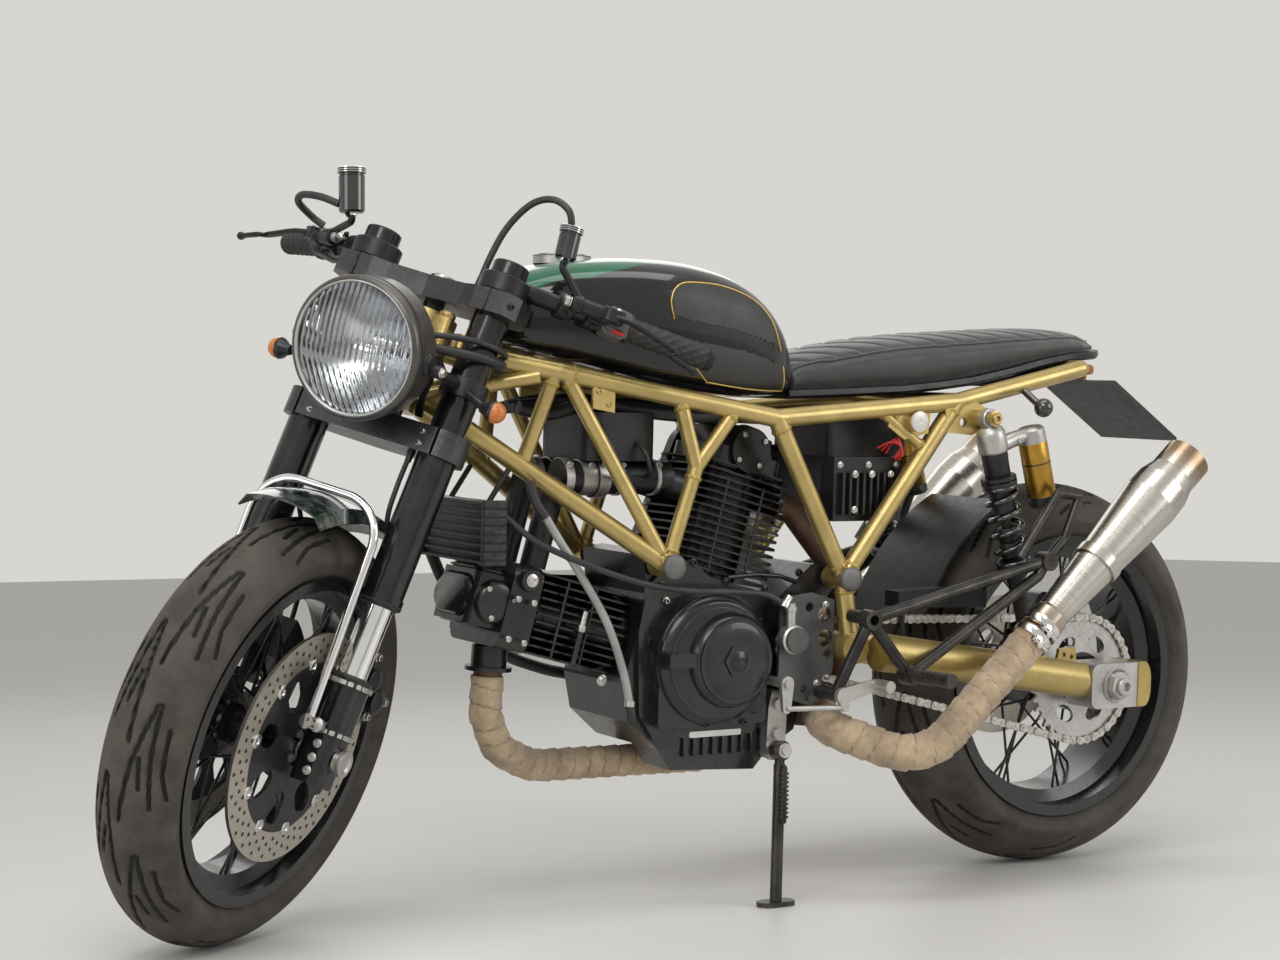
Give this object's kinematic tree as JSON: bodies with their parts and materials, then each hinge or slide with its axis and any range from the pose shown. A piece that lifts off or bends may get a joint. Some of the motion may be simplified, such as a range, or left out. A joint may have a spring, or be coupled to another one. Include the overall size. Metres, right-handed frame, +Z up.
{
  "type": "cafe racer motorcycle",
  "caption": "Cafe racer motorcycle with a gold tube frame, finned twin engine, wire wheels and swept silencers, parked on its side stand with the steering turned left.",
  "frame": {"origin": "centre of the bounding box's footprint, on the ground plane under the tyres and stand foot", "axes": "+X forward, +Y to the rider's left, +Z up; the motorcycle leans 3.6 degrees to its left on the side stand, with the steering on its left stop"},
  "size_m": [1.9727, 0.6423, 1.0594],
  "materials": {
    "alloy": "cast and machined aluminium",
    "amber": "amber lens",
    "black_paint": "satin black paint on castings, brackets and tubes",
    "chrome": "polished chrome",
    "clamp_grey": "dark grey anodised billet",
    "disc_steel": "ground brake disc steel",
    "engine_black": "matt black engine paint",
    "gold_paint": "gold metallic paint, semi-gloss",
    "grip_rubber": "black rubber with a diamond pattern",
    "guard_metal": "polished dark metal",
    "header_steel": "heat-stained header under wrap",
    "hose": "black rubber hose",
    "lens": "clear fluted glass",
    "red_lens": "red lens",
    "rim_black": "black anodised rim, hub and spokes with a bright lip",
    "seat_leather": "black stitched leather, soft sheen",
    "steel": "brushed stainless steel",
    "tank_paint": "gloss black paint with a green top and a gold pinstripe",
    "tray_plastic": "gloss black plate",
    "tyre_rubber": "worn tread rubber with cut grooves",
    "worn_steel": "worn chain and sprocket steel",
    "wrap": "tan heat wrap"
  },
  "bodies": {
    "root": {"rear_axle": "alloy", "rear_caliper": "black_paint", "crankcase": "engine_black", "left_cover": "engine_black", "right_cover": "engine_black", "front_cylinder": "engine_black", "rear_cylinder": "engine_black", "sprocket_cover": "clamp_grey", "front_sprocket": "worn_steel", "chain": "worn_steel", "frame": "gold_paint", "swingarm": "gold_paint", "shocks": "black_paint", "shock_reservoirs": "gold_paint", "tank": "tank_paint", "fuel_cap": "black_paint", "seat": "seat_leather", "tail_tray": "tray_plastic", "tail_lamp": "red_lens", "rear_indicators": "amber", "oil_cooler": "black_paint", "intakes": "alloy", "electrics": "black_paint", "headers": "header_steel", "link_pipes": "wrap", "silencers": "steel", "rearsets": "black_paint", "foot_controls": "alloy", "hoses": "hose", "hugger": "black_paint", "stand_bracket": "alloy"},
    "steering": {"lower_clamp": "black_paint", "upper_clamp": "clamp_grey", "fork_legs": "black_paint", "stanchions": "chrome", "front_spindle": "alloy", "calipers": "black_paint", "lamp_shell": "black_paint", "lamp_glass": "lens", "lamp_brackets": "black_paint", "front_indicators": "amber", "handlebars": "black_paint", "grips": "grip_rubber", "steer_hoses": "hose", "mudguard": "guard_metal", "guard_stay": "chrome"},
    "front_wheel": {"front_tyre": "tyre_rubber", "front_rim": "rim_black", "front_discs": "disc_steel", "front_carriers": "black_paint"},
    "rear_wheel": {"rear_tyre": "tyre_rubber", "rear_sprocket": "worn_steel", "rear_rim": "rim_black", "rear_disc": "disc_steel"},
    "side_stand": {"stand_leg": "black_paint"}
  },
  "joints": [
    {"name": "steering_turn", "type": "hinge", "parent": "root", "child": "steering", "pos_m": [0.49895, 0.04662, 0.79942], "axis": [-0.3785, 0.0581, 0.9238], "range_deg": [-74, 0]},
    {"name": "front_wheel_spin", "type": "hinge", "parent": "steering", "child": "front_wheel", "pos_m": [0.72637, 0.02814, 0.29073], "axis": [-0.557, 0.7828, -0.2775], "continuous": true},
    {"name": "rear_wheel_spin", "type": "hinge", "parent": "root", "child": "rear_wheel", "pos_m": [-0.67137, 0.01612, 0.31457], "axis": [0, 0.998, -0.0628], "continuous": true},
    {"name": "side_stand_fold", "type": "hinge", "parent": "root", "child": "side_stand", "pos_m": [-0.06572, 0.13487, 0.22721], "axis": [0.0508, 0.9967, 0.0633], "range_deg": [0, 80.58]}
  ]
}
